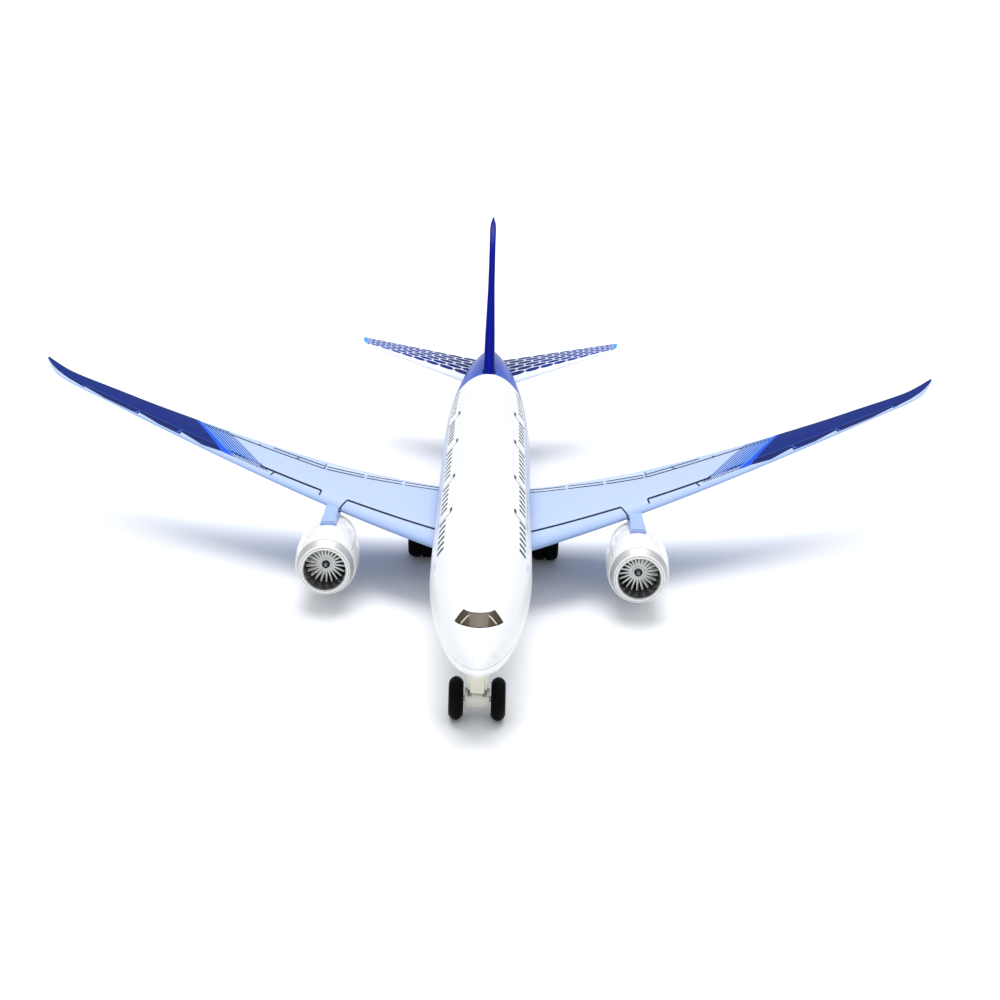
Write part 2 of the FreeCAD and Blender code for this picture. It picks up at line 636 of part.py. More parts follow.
def nose_leg():
    """Tapered leg that hangs from the nose, with a tongue that the axle passes through."""
    station = NOSE_GEAR_STATION
    sections = []
    for z, half_width, half_depth in ((6.2, 1.65, 1.4), (12.2, 2.35, 2.1)):
        corners = [point(-half_width, station - half_depth, z), point(half_width, station - half_depth, z),
                   point(half_width, station + half_depth, z), point(-half_width, station + half_depth, z)]
        sections.append(Part.makePolygon(corners + corners[:1]))
    post = Part.makeLoft(sections, True, True)
    front_rib = box((-1.25, 1.25), (station - 1.9, station + 1.6), (5.75, 9.4))
    flange = box((-3.1, 3.1), (station - 2.6, station + 2.8), (11.4, 12.4))
    leg = post.fuse([front_rib, flange, nose_tongue(0.0)])
    tongue_end = rod_along_x(1.0, (-0.75, 0.75), station, NOSE_WHEEL_R)
    leg = leg.fuse(tongue_end)
    hole = rod_along_x(NOSE_AXLE_R + RUNNING_GAP, (-3.0, 3.0), station, NOSE_WHEEL_R)
    return leg.cut(hole).removeSplitter()


def nose_axle_block():
    """Drum that carries the axle, split at the top for the leg's tongue."""
    block = rod_along_x(NOSE_BLOCK_R, (-NOSE_BLOCK_HALF_WIDTH, NOSE_BLOCK_HALF_WIDTH), NOSE_GEAR_STATION,
                        NOSE_WHEEL_R)
    block = block.cut(nose_tongue(0.0))
    block = block.cut(rod_along_x(1.0, (-0.75, 0.75), NOSE_GEAR_STATION, NOSE_WHEEL_R))
    notch_depth = NOSE_BLOCK_R * 0.45
    for side in (-1, 1):
        low, high = sorted((side * 1.0, side * 1.7))
        block = block.cut(box((low, high), (NOSE_GEAR_STATION - 2.5, NOSE_GEAR_STATION + 2.5),
                              (NOSE_WHEEL_R + NOSE_BLOCK_R - notch_depth, NOSE_WHEEL_R + NOSE_BLOCK_R + 1)))
    return block.cut(rod_along_x(NOSE_AXLE_R + RUNNING_GAP, (-3.0, 3.0), NOSE_GEAR_STATION, NOSE_WHEEL_R))


def main_wheel_place(shape):
    return moved(shape, MAIN_WHEEL_OUTER_X - MAIN_WHEEL_WIDTH / 2, MAIN_GEAR_STATION, MAIN_WHEEL_R)


def main_hub():
    half = MAIN_WHEEL_WIDTH / 2 - 0.2
    outline = [(-half - 0.5, MAIN_AXLE_R), (-half - 0.5, 1.6), (-half + 1.2, 1.8), (-half + 1.2, 3.2),
               (-half, 3.4), (-half, MAIN_HUB_R), (half, MAIN_HUB_R), (half, 3.4), (half - 0.9, 3.1),
               (half - 0.9, 1.7), (half - 0.2, 1.3), (half - 0.2, 0.0), (half - 1.4, 0.0),
               (half - 1.4, MAIN_AXLE_R)]
    hub = turned(outline, X_AXIS)
    holes = []
    for step in range(HUB_HOLES):
        hole = Part.makeCylinder(HUB_HOLE_R, 10, V(-5, 0, HUB_HOLE_CIRCLE_R), X_AXIS)
        hole.rotate(CENTRE, X_AXIS, 360 * step / HUB_HOLES)
        holes.append(hole)
    return main_wheel_place(hub.cut(holes))


def main_tyre():
    """Rubber ring with round shoulders and a groove round its middle, like a pair of tyres."""
    half = MAIN_WHEEL_WIDTH / 2
    top = MAIN_WHEEL_R
    groove = 0.35
    outline = [(-half + 0.15, MAIN_HUB_R), (-half, 4.4), (-half + 0.25, 4.95), (-half + 0.7, 5.27),
               (-half + 1.3, top), (-groove, top), (-groove + 0.1, top - 0.5), (groove - 0.1, top - 0.5),
               (groove, top), (half - 1.3, top), (half - 0.7, 5.27), (half - 0.25, 4.95), (half, 4.4),
               (half - 0.15, MAIN_HUB_R)]
    return main_wheel_place(turned(outline, X_AXIS))


def main_axle():
    reach = MAIN_WHEEL_OUTER_X - 1.6
    return rod_along_x(MAIN_AXLE_R, (-reach, reach), MAIN_GEAR_STATION, MAIN_WHEEL_R)


# ---- friction drive -----------------------------------------------------------------------------------------
def idler_centre():
    distance = MODULE * (AXLE_GEAR_TEETH + PINION_TEETH) / 2
    angle = math.radians(IDLER_OFFSET_ANGLE)
    return MAIN_GEAR_STATION + distance * math.cos(angle), MAIN_WHEEL_R + distance * math.sin(angle)


def flywheel_centre():
    distance = MODULE * (IDLER_TEETH + PINION_TEETH) / 2
    angle = math.radians(FLYWHEEL_OFFSET_ANGLE)
    station, z = idler_centre()
    return station + distance * math.cos(angle), z + distance * math.sin(angle)


def involute(angle):
    return math.tan(angle) - angle


def gear_blank(teeth, phase):
    """The outline of an involute gear round the X axis, with one tooth at the phase angle."""
    pitch_r = MODULE * teeth / 2
    base_r = pitch_r * math.cos(math.radians(PRESSURE_ANGLE))
    tip_r = pitch_r + 0.85 * MODULE
    root_r = pitch_r - 1.1 * MODULE
    half_tooth = math.pi / (2 * teeth) - GEAR_BACKLASH / 2 / pitch_r
    base_half = half_tooth + involute(math.radians(PRESSURE_ANGLE))
    corners = []
    for tooth in range(teeth):
        middle = phase + 2 * math.pi * tooth / teeth
        flank = [(root_r, base_half)]
        for step in range(5):
            radius = max(base_r, root_r) + (tip_r - max(base_r, root_r)) * step / 4
            flank.append((radius, base_half - involute(math.acos(min(base_r / radius, 1.0)))))
        for radius, half in flank:
            corners.append(V(0, radius * math.cos(middle - half), radius * math.sin(middle - half)))
        for radius, half in reversed(flank):
            corners.append(V(0, radius * math.cos(middle + half), radius * math.sin(middle + half)))
    return Part.Face(Part.makePolygon(corners + corners[:1]))


def gear(teeth, phase, x_range, centre):
    body = gear_blank(teeth, phase).extrude(X_AXIS * (x_range[1] - x_range[0]))
    return moved(body, x_range[0], centre[0], centre[1])


def facing_gap(angle, teeth):
    """The phase that puts a tooth gap towards a gear lying behind the given direction."""
    return angle + math.pi + math.pi / teeth


def axle_gear():
    phase = math.radians(IDLER_OFFSET_ANGLE)
    centre = (MAIN_GEAR_STATION, MAIN_WHEEL_R)
    blank = gear(AXLE_GEAR_TEETH, phase, FIRST_MESH_X, centre)
    collar = rod_along_x(1.4, (FIRST_MESH_X[0] - 0.6, FIRST_MESH_X[0]), *centre)
    return blank.fuse(collar).cut(rod_along_x(MAIN_AXLE_R, (-6.0, 6.0), *centre))


def idler_gear():
    centre = idler_centre()
    pinion = gear(PINION_TEETH, facing_gap(math.radians(IDLER_OFFSET_ANGLE), PINION_TEETH),
                  (FIRST_MESH_X[0] - 0.1, SECOND_MESH_X[0]), centre)
    wheel = gear(IDLER_TEETH, math.radians(FLYWHEEL_OFFSET_ANGLE), SECOND_MESH_X, centre)
    return pinion.fuse(wheel).cut(rod_along_x(DRIVE_SHAFT_R, (-6.0, 6.0), *centre))


def flywheel_pinion():
    centre = flywheel_centre()
    phase = facing_gap(math.radians(FLYWHEEL_OFFSET_ANGLE), PINION_TEETH)
    pinion = gear(PINION_TEETH, phase, (SECOND_MESH_X[0] - 0.1, FLYWHEEL_X[0]), centre)
    return pinion.cut(rod_along_x(DRIVE_SHAFT_R, (-6.0, 6.0), *centre))


def flywheel():
    centre = flywheel_centre()
    disc = rod_along_x(FLYWHEEL_R, FLYWHEEL_X, *centre)
    return disc.cut(rod_along_x(DRIVE_SHAFT_R, (-6.0, 6.0), *centre))


def drive_shaft(centre):
    reach = CASING_HALF_WIDTH - 0.25
    return rod_along_x(DRIVE_SHAFT_R, (-reach, reach), *centre)


def casing_outline():
    """Side outline of the drive casing as (station, z), bottom front corner first."""
    front = MAIN_GEAR_STATION - CASING_FRONT
    back = MAIN_GEAR_STATION + CASING_BACK
    return [(front + 8.8, CASING_BOTTOM_Z), (back, CASING_BOTTOM_Z), (back, CASING_TOP_Z - 5.2),
            (back - 3.4, CASING_TOP_Z), (front + 1.2, CASING_TOP_Z), (front, CASING_TOP_Z - 1.2),
            (front, CASING_TOP_Z - 9.4)]


def casing_cavity():
    corners = [point(0, station, z) for station, z in casing_outline()]
    face = Part.Face(Part.makePolygon(corners + corners[:1])).makeOffset2D(-CASING_WALL)
    reach = CASING_HALF_WIDTH - CASING_WALL
    face.translate(X_AXIS * -reach)
    return face.extrude(X_AXIS * (2 * reach))


def casing_screw_places():
    front = (MAIN_GEAR_STATION - CASING_FRONT + 1.8, CASING_TOP_Z - 1.3)
    back = (MAIN_GEAR_STATION + CASING_BACK - 1.8, CASING_TOP_Z - 5.4)
    return front, back


def casing_half(side):
    """One half of the drive casing, open towards x = 0."""
    outer_x = side * CASING_HALF_WIDTH
    half = tuple(sorted((0.0, outer_x)))
    shell = prism_along_x(casing_outline(), half)
    ledge = box(tuple(sorted((0.0, side * LEDGE_HALF_WIDTH))),
                (MAIN_GEAR_STATION - CASING_FRONT - LEDGE_REACH, MAIN_GEAR_STATION + CASING_BACK + LEDGE_REACH),
                LEDGE_Z)
    shell = shell.fuse(ledge).cut(casing_cavity())
    bores = [rod_along_x(MAIN_AXLE_R + RUNNING_GAP, (-7.0, 7.0), MAIN_GEAR_STATION, MAIN_WHEEL_R)]
    shaft_seats = (-CASING_HALF_WIDTH + 0.2, CASING_HALF_WIDTH - 0.2)
    for centre in (idler_centre(), flywheel_centre()):
        bores.append(rod_along_x(DRIVE_SHAFT_R + RUNNING_GAP, shaft_seats, *centre))
    for station, z in casing_screw_places():
        shell = shell.fuse(rod_along_x(CASING_SCREW_R + 0.55, half, station, z))
        bores.append(rod_along_x(CASING_SCREW_R, (-4.4, 7.0), station, z))
        bores.append(rod_along_x(CASING_SCREW_HEAD_R + RUNNING_GAP, (CASING_HALF_WIDTH - 0.5, 7.0), station, z))
    return shell.cut(bores)


def casing_screws():
    screws = []
    for station, z in casing_screw_places():
        shank = rod_along_x(CASING_SCREW_R, (-4.0, CASING_HALF_WIDTH - 0.5), station, z)
        head = rod_along_x(CASING_SCREW_HEAD_R, (CASING_HALF_WIDTH - 0.5, CASING_HALF_WIDTH - 0.05), station, z)
        slot = box((CASING_HALF_WIDTH - 0.25, 7.0), (station - 1, station + 1), (z - 0.1, z + 0.1))
        screws.append(shank.fuse(head).cut(slot))
    return Part.makeCompound(screws)


def drive_opening():
    """Window in the belly that the casing hangs through."""
    gap = 0.15
    side = CASING_HALF_WIDTH + gap
    return box((-side, side), (MAIN_GEAR_STATION - CASING_FRONT - gap,
                               MAIN_GEAR_STATION + CASING_BACK + gap), (0.0, 13.0))


# ---- ballast and body screws --------------------------------------------------------------------------------
def nose_ballast():
    length = BALLAST_STATIONS[1] - BALLAST_STATIONS[0]
    return Part.makeCylinder(BALLAST_R, length, point(0, BALLAST_STATIONS[0], BALLAST_Z), Y_AXIS)


def ballast_cradle():
    """Two saddles in the lower shell that the ballast slug lies in."""
    saddles = []
    for station in SADDLE_STATIONS:
        bottom = body_size(station)[2] + BODY_WALL / 2
        saddles.append(box((-SADDLE_HALF_WIDTH, SADDLE_HALF_WIDTH), (station, station + SADDLE_THICKNESS),
                           (bottom, BALLAST_Z)))
    inside = body_solid(BODY_WALL / 2, 1.5, TAIL_END)
    cradle = saddles[0].fuse(saddles[1]).common(inside)
    return cradle.cut(nose_ballast())


def body_screws():
    screws = []
    for station in SCREW_STATIONS:
        floor = parting_height(station)
        head_seat = floor - SCREW_LENGTH + SCREW_GRIP
        shank = rod_along_z(SCREW_SHANK_R, (head_seat, head_seat + SCREW_LENGTH), 0, station)
        head_bottom = head_seat - SCREW_HEAD_DEPTH
        head = rod_along_z(SCREW_HEAD_R, (head_bottom, head_seat), 0, station)
        long = 0.8
        thin = 0.15
        recess = (head_bottom - 0.1, head_bottom + SCREW_HEAD_DEPTH / 2)
        slots = [box((-long, long), (station - thin, station + thin), recess),
                 box((-thin, thin), (station - long, station + long), recess)]
        screws.append(shank.fuse(head).cut(slots))
    return Part.makeCompound(screws)


# ---- the whole model ----------------------------------------------------------------------------------------
def build():
    body_outer = body_solid(0.0, 0.0, TAIL_END).fuse(belly_fairing())
    body_inner = body_solid(BODY_WALL, 2.5, TAIL_END - 4)
    tail = tailplane()
    leg = nose_leg()
    port_wing = wing(body_outer)
    pieces = {
        "upper_fuselage_shell": upper_shell(body_outer, body_inner, fin_slot(), tail),
        "lower_fuselage_shell": lower_shell(body_outer, body_inner, wing_tab(), tail, leg),
        "cockpit_window": cockpit_window(body_outer),
        "tail_fin": tail_fin(),
        "tailplane": tail,
        "nose_gear_leg": leg,
        "nose_axle_block": nose_axle_block(),
        "nose_axle": nose_axle(),
        "main_axle": main_axle(),
        "axle_gear": axle_gear(),
        "idler_gear": idler_gear(),
        "idler_shaft": drive_shaft(idler_centre()),
        "flywheel_pinion": flywheel_pinion(),
        "flywheel": flywheel(),
        "flywheel_shaft": drive_shaft(flywheel_centre()),
        "drive_casing_port": casing_half(1),
        "drive_casing_starboard": casing_half(-1),
        "drive_casing_screws": casing_screws(),
        "nose_ballast": nose_ballast(),
        "body_screws": body_screws(),
    }
    port_side = {
        "wing": port_wing,
        "nose_wheel": nose_wheel(),
        "main_hub": main_hub(),
        "main_tyre": main_tyre(),
        "engine_lip": to_port_engine(engine_lip()),
        "intake_ring": to_port_engine(intake_ring()),
        "engine_cowl": engine_cowl(port_wing),
        "fan": to_port_engine(fan()),
        "fan_pin": to_port_engine(fan_pin()),
        "engine_core": to_port_engine(engine_core()),
    }
    for name, shape in port_side.items():
        pieces["port_" + name] = shape
        pieces["starboard_" + name] = mirrored(shape)
    return pieces


def main():
    os.makedirs("parts", exist_ok=True)
    for name, shape in build().items():
        shape.exportStep(os.path.join("parts", name + ".step"))


main()
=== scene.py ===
import json
import math

import bpy
from mathutils import Matrix, Vector


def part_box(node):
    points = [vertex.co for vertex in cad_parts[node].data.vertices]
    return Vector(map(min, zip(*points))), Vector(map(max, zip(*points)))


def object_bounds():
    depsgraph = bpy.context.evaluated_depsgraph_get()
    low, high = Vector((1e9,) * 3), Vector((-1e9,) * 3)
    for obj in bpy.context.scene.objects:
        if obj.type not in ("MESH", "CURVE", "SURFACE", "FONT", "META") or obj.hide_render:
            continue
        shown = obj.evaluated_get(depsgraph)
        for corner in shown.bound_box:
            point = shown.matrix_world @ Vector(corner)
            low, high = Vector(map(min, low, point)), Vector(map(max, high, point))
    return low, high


# Looks of the desktop airliner model: paint, print, moulded surfaces, camera, light and floor. The shapes are
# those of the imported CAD. Numbers are millimetres, unless a name says otherwise. A "station" is the distance
# aft of the nose tip.
MM = 0.001
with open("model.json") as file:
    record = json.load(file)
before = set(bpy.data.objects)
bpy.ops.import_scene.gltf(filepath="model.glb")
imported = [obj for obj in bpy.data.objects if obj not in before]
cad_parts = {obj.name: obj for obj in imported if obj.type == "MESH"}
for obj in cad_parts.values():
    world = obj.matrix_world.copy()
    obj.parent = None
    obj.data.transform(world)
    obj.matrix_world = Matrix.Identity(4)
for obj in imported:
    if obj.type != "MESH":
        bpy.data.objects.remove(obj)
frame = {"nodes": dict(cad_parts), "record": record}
cad_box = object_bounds()
LENGTH = (cad_box[1].y - cad_box[0].y) / MM

# fuselage, as in the CAD
BODY_HALF_WIDTH = 9.62
BODY_TOP_Z = 26.28
BODY_BOTTOM_Z = 6.38
TAIL_START = 116.0
TAIL_END = 182.0
TAIL_END_TOP_Z = 21.2
TAIL_END_BOTTOM_Z = 19.3
TAIL_END_HALF_WIDTH = 0.95
PARTING_Z = 14.0
PARTING_RISE_START = 122.0
PARTING_TAIL_Z = 20.25
TAIL_WIDTH_POWERS = (1.9, 0.85)     # how fast the body narrows behind TAIL_START
TAIL_TOP_POWER = 2.4                # how fast its top comes down
TAIL_BOTTOM_POWER = 1.65            # how fast its bottom comes up

# wing and tailplane outlines, as in the CAD
WING_ROOT_X = 9.97
WING_ROOT_LEADING = 61.7
WING_SWEEP = math.tan(math.radians(34.3))
WING_KINK_X = 35.0
WING_ROOT_TRAILING = 100.5
WING_KINK_TRAILING = 104.2
TIP_LEADING_CURL_X = 94.0
TIP_LEADING_CURL = 0.055
TIP_TRAILING_CURL_X = 94.5
TIP_TRAILING_CURL = 0.234
WING_TRAILING_SWEEP = 0.27
WING_TRAILING_CURVE = 0.0016
TAILPLANE_TIP_X = 32.2
TAILPLANE_ROOT_LEADING = 153.0
TAILPLANE_TIP_LEADING = 177.4
TAILPLANE_ROOT_CHORD = 24.6
TAILPLANE_TIP_CHORD = 5.4
TAILPLANE_SWEEP = (TAILPLANE_TIP_LEADING - TAILPLANE_ROOT_LEADING) / TAILPLANE_TIP_X
TAILPLANE_TAPER = (TAILPLANE_ROOT_CHORD - TAILPLANE_TIP_CHORD) / TAILPLANE_TIP_X

# inlet of the port engine
INLET_LOW, INLET_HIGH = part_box("port_engine_lip")
INLET_X = (INLET_LOW.x + INLET_HIGH.x) / 2 / MM
INLET_Z = (INLET_LOW.z + INLET_HIGH.z) / 2 / MM
INLET_STATION = INLET_LOW.y / MM + LENGTH / 2
INLET_THROAT_R = 4.2
LIP_R = 5.15


# ---- numbers that vary over a surface ----------------------------------------------------------------------
class Field:
    """A number made by shader nodes. Arithmetic on it adds nodes to the same tree."""

    def __init__(self, tree, socket):
        self.tree = tree
        self.socket = socket

    def math(self, operation, other=None, third=None, clamp=False):
        node = self.tree.nodes.new("ShaderNodeMath")
        node.operation = operation
        node.use_clamp = clamp
        for place, value in enumerate((self, other, third)):
            if isinstance(value, Field):
                self.tree.links.new(value.socket, node.inputs[place])
            elif value is not None:
                node.inputs[place].default_value = value
        return Field(self.tree, node.outputs[0])

    def __add__(self, other):
        return self.math("ADD", other)

    def __sub__(self, other):
        return self.math("SUBTRACT", other)

    def __rsub__(self, other):
        return self.math("MULTIPLY_ADD", -1.0, other)

    def __mul__(self, other):
        return self.math("MULTIPLY", other)

    def __truediv__(self, other):
        return self.math("DIVIDE", other)

    def __pow__(self, other):
        return self.math("POWER", other)

    __radd__ = __add__
    __rmul__ = __mul__

    def size(self):
        return self.math("ABSOLUTE")

    def fraction(self):
        return self.math("FRACT")

    def whole(self):
        return self.math("FLOOR")

    def at_least(self, other):
        return self.math("MAXIMUM", other)

    def at_most(self, other):
        return self.math("MINIMUM", other)

    def over(self, edge, soft):
        """0 below the edge and 1 above it, with a ramp of that width between."""
        return ((self - edge) / soft).math("ADD", 0.5, clamp=True)

    def under(self, edge, soft):
        return 1.0 - self.over(edge, soft)

    def within(self, low, high, soft):
        return self.over(low, soft) * self.under(high, soft)

    def near(self, value, half_width, soft):
        return (self - value).size().under(half_width, soft)


def either(first, *others):
    for other in others:
        first = first.at_least(other)
    return first


# ---- materials ---------------------------------------------------------------------------------------------
class Paint:
    """One Principled material, with helpers that read the piece's own coordinates in millimetres."""

    def __init__(self, name, colour, roughness, **sockets):
        self.material = bpy.data.materials.new(name)
        self.material.use_nodes = True
        self.tree = self.material.node_tree
        self.shader = self.tree.nodes["Principled BSDF"]
        self.shader.inputs["Roughness"].default_value = roughness
        for socket, value in sockets.items():
            self.shader.inputs[socket.replace("_", " ")].default_value = value
        self.coordinates = self.tree.nodes.new("ShaderNodeTexCoord")
        split = self.tree.nodes.new("ShaderNodeSeparateXYZ")
        self.tree.links.new(self.coordinates.outputs["Object"], split.inputs[0])
        axes = [Field(self.tree, split.outputs[index]) * (1 / MM) for index in range(3)]
        self.x = axes[0].size()
        self.station = axes[1] + LENGTH / 2
        self.z = axes[2]
        self.colour = colour
        self.bump = None

    def facing_up(self):
        """The upward part of the surface's direction: 1 on top, 0 on a side, -1 underneath."""
        normal = self.tree.nodes.new("ShaderNodeSeparateXYZ")
        self.tree.links.new(self.coordinates.outputs["Normal"], normal.inputs[0])
        return Field(self.tree, normal.outputs[2])

    def noise(self, scale_per_mm, detail=3.0, stretch=(1, 1, 1)):
        """A soft random field between 0 and 1."""
        mapping = self.tree.nodes.new("ShaderNodeMapping")
        mapping.inputs["Scale"].default_value = stretch
        self.tree.links.new(self.coordinates.outputs["Object"], mapping.inputs["Vector"])
        node = self.tree.nodes.new("ShaderNodeTexNoise")
        node.inputs["Scale"].default_value = scale_per_mm / MM
        node.inputs["Detail"].default_value = detail
        self.tree.links.new(mapping.outputs[0], node.inputs["Vector"])
        return Field(self.tree, node.outputs[0])

    def set_colour(self, target, colour):
        """Puts a fixed colour on a socket, or links a colour that varies."""
        if isinstance(colour, tuple):
            target.default_value = (*colour, 1)
        else:
            self.tree.links.new(colour, target)

    def mixed(self, mask, first, second):
        node = self.tree.nodes.new("ShaderNodeMix")
        node.data_type = "RGBA"
        self.tree.links.new(mask.socket, node.inputs[0])
        self.set_colour(node.inputs[6], first)
        self.set_colour(node.inputs[7], second)
        return node.outputs[2]

    def print_over(self, mask, colour):
        """Prints a colour where the mask is 1."""
        self.colour = self.mixed(mask, self.colour, colour)

    def raise_by(self, height):
        """Adds a height in millimetres to the bump."""
        self.bump = height if self.bump is None else self.bump + height

    def roughness(self, low, high, field):
        value = field * (high - low) + low
        self.tree.links.new(value.socket, self.shader.inputs["Roughness"])

    def dull(self, mask, shine):
        """Sets how shiny the surface is: as asked where the mask is 0, hardly at all where it is 1."""
        value = (1.0 - mask) * shine + LEAST_SHINE
        self.tree.links.new(value.socket, self.shader.inputs["Specular IOR Level"])

    def done(self, edge_radius=0.0):
        self.set_colour(self.shader.inputs["Base Color"], self.colour)
        normal = None
        if edge_radius:
            bevel = self.tree.nodes.new("ShaderNodeBevel")
            bevel.samples = 6
            bevel.inputs["Radius"].default_value = edge_radius * MM
            normal = bevel.outputs[0]
        if self.bump is not None:
            node = self.tree.nodes.new("ShaderNodeBump")
            node.inputs["Strength"].default_value = 1.0
            node.inputs["Distance"].default_value = MM
            self.tree.links.new(self.bump.socket, node.inputs["Height"])
            if normal is not None:
                self.tree.links.new(normal, node.inputs["Normal"])
            normal = node.outputs[0]
        if normal is not None:
            self.tree.links.new(normal, self.shader.inputs["Normal"])
        return self.material


LEAST_SHINE = 0.04          # left over where a print is dull
WHITE = (0.86, 0.87, 0.89)
INK = (0.004, 0.006, 0.012)
NAVY = (0.002, 0.010, 0.125)
NAVY_SHEEN = (0.002, 0.020, 0.19)
NAVY_DEEP = (0.001, 0.002, 0.03)
NAVY_HIGHLIGHT = (0.10, 0.20, 0.60)
ROYAL = (0.0015, 0.005, 0.21)
BRIGHT = (0.008, 0.09, 0.72)
SKY = (0.035, 0.24, 0.85)
WING_BLUE = (0.44, 0.54, 0.77)
# painted shade on the wing's downward faces and along its leading edge
SHADED_BLUE = (0.25, 0.37, 0.64)
TAIL_BLUE = (0.026, 0.085, 0.52)


def plastic(name, colour, roughness, grain=0.0, tint=0.03, edge=0.0, **sockets):
    """Moulded plastic: a slow shift in colour, an uneven gloss and, where asked for, a spark-eroded grain."""
    paint = Paint(name, colour, roughness, **sockets)
    cloudy = paint.noise(0.12)
    darker = tuple(channel * (1 - 4 * tint) for channel in colour)
    paint.print_over(cloudy.within(0.35, 0.65, 0.3), darker)
    paint.roughness(roughness * 0.8, roughness * 1.25, paint.noise(0.6))
    if grain:
        paint.raise_by(paint.noise(7.0, 2.0) * grain)
    return paint.done(edge)


def steel(name, colour, roughness, stretch):
    """Drawn or turned steel with fine lines along or round it."""
    paint = Paint(name, colour, roughness, Metallic=1.0)
    lines = paint.noise(2.0, 4.0, stretch)
    paint.print_over(lines, tuple(channel * 0.8 for channel in colour))
    paint.roughness(roughness * 0.7, roughness * 1.4, lines)
    paint.raise_by(lines * 0.004)
    return paint.done()


def body_middle_and_sizes(paint):
    """Half width, middle height and half height of the fuselage at the surface point's station."""
    aft = ((paint.station - TAIL_START) / (TAIL_END - TAIL_START)).at_least(0.0).at_most(0.999)
    narrowing = (1.0 - aft ** TAIL_WIDTH_POWERS[0]) ** TAIL_WIDTH_POWERS[1]
    half_width = narrowing * (BODY_HALF_WIDTH - TAIL_END_HALF_WIDTH) + TAIL_END_HALF_WIDTH
    top = BODY_TOP_Z - (aft ** TAIL_TOP_POWER) * (BODY_TOP_Z - TAIL_END_TOP_Z)
    bottom = (aft ** TAIL_BOTTOM_POWER) * (TAIL_END_BOTTOM_Z - BODY_BOTTOM_Z) + BODY_BOTTOM_Z
    return half_width, (top + bottom) / 2, (top - bottom) / 2


def degrees_from_top(paint):
    half_width, middle, half_height = body_middle_and_sizes(paint)
    sideways = paint.x / half_width
    upward = (paint.z - middle) / half_height
    return sideways.math("ARCTAN2", upward) * (180 / math.pi)


# rows of cabin windows: station of the first, spacing and how many
WINDOW_ROWS = ((34.7, 3.02, 6), (56.6, 2.76, 6), (76.9, 2.8, 7), (101.2, 2.52, 6), (120.9, 3.1, 6))
WINDOW_TOP = 47.6           # degrees from the top of the body
WINDOW_BOTTOM = 59.6
WINDOW_WIDTH = 1.35
DOOR_STATIONS = ((51.4, 54.4), (71.9, 74.8), (95.3, 98.3), (115.2, 118.4))
DOOR_TOP = 40.5
DOOR_CORNER = 4.0           # degrees over which the front edge bends into the top
DOOR_BOTTOM = 63.0
TAIL_FRONT = 143.3          # station of the blue tail's front edge on top of the body
TAIL_FORWARD = 34.0         # how much further forward the sweep carries it under the body
TAIL_SHEEN_LENGTH = 70.0            # length over which a painted reflection turns the glossy blue paler aft
SIDE_LINE_ANGLE = 65.8


def cabin_windows(paint, angle):
    """Upright dark strokes in five rows, with a door in each gap between two rows."""
    marks = None
    for first, spacing, count in WINDOW_ROWS:
        steps = (paint.station - first) / spacing + 0.5
        stroke = ((steps.fraction() - 0.5).size() * spacing).under(WINDOW_WIDTH / 2, 0.1)
        row = stroke * steps.within(0.0, float(count), 0.01)
        marks = row if marks is None else either(marks, row)
    return marks * angle.within(WINDOW_TOP, WINDOW_BOTTOM, 1.0)


def cabin_doors(paint, angle):
    """A short bar along the top edge, and a thin outline with a rounded front corner."""
    marks = None
    for front, back in DOOR_STATIONS:
        bar = paint.station.within(front + 0.7, back, 0.2) * angle.near(DOOR_TOP, 1.7, 0.8)
        corner_bottom = DOOR_TOP + DOOR_CORNER
        front_edge = paint.station.near(front, 0.22, 0.16) * angle.within(corner_bottom, DOOR_BOTTOM, 1.0)
        back_edge = paint.station.near(back, 0.12, 0.12) * angle.within(DOOR_TOP + 2, DOOR_BOTTOM, 1.0)
        corner_line = paint.station - (front + (corner_bottom - angle) * 0.16)
        corner = corner_line.size().under(0.22, 0.16) * angle.within(DOOR_TOP, corner_bottom, 0.5)
        sill = angle.near(DOOR_BOTTOM, 0.6, 0.6) * paint.station.within(front, back, 0.15)
        door = either(bar, either(front_edge, corner), back_edge * 0.4, sill * 0.5)
        marks = door if marks is None else either(marks, door)
    return marks


def tail_line(angle):
    """Station where the blue tail starts: an arch over the top that sweeps forward low on the sides."""
    over_top = TAIL_FRONT - ((angle - 8.0) / 42.0).at_least(0.0) ** 1.4 * 3.4
    down = ((angle - 56.0) / 94.0).at_least(0.0).at_most(1.0) ** 1.2
    return over_top - (1.0 - (1.0 - down) ** 2.0) * TAIL_FORWARD


def side_line_and_reflections(paint, angle):
    """A thin darker line printed along the sides, a soft pale blue low on the sides that is a painted
    reflection of the blue wing, and a broken patch of painted reflection near the nose.
    """
    side_line = angle.near(SIDE_LINE_ANGLE, 0.7, 0.6) * paint.station.within(50.0, 133.0, 3.0)
    # painted reflection of the blue wing, low on the glossy white sides
    pale = angle.within(60.5, 104.0, 5.0) * paint.station.within(64.0, 150.0, 34.0)
    paint.print_over(pale * 0.7, (0.25, 0.36, 0.62))
    paint.print_over(side_line * 0.8, (0.16, 0.24, 0.46))
    # painted reflection: broken blue specks near the nose
    reflection_specks = angle.within(63.0, 69.0, 1.0) * paint.station.within(30.0, 34.5, 1.0)
    paint.print_over(reflection_specks * paint.noise(0.9).over(0.48, 0.1) * 0.35, (0.14, 0.25, 0.62))


def blue_tail(paint, angle):
    """Prints the tail with a dark front edge and a painted reflection that turns the blue paler aft, and
    returns the mask of the tail.
    """
    behind = paint.station - tail_line(angle)
    tail = behind.over(0.0, 0.25)
    # painted reflection: the glossy blue turns paler further aft
    painted_sheen = (behind / TAIL_SHEEN_LENGTH).at_least(0.0).at_most(1.0)
    blue_with_sheen = paint.mixed(painted_sheen, TAIL_BLUE, (0.09, 0.15, 0.50))
    paint.print_over(tail, blue_with_sheen)
    paint.print_over(behind.near(0.2, 0.3, 0.3), (0.006, 0.02, 0.2))
    return tail


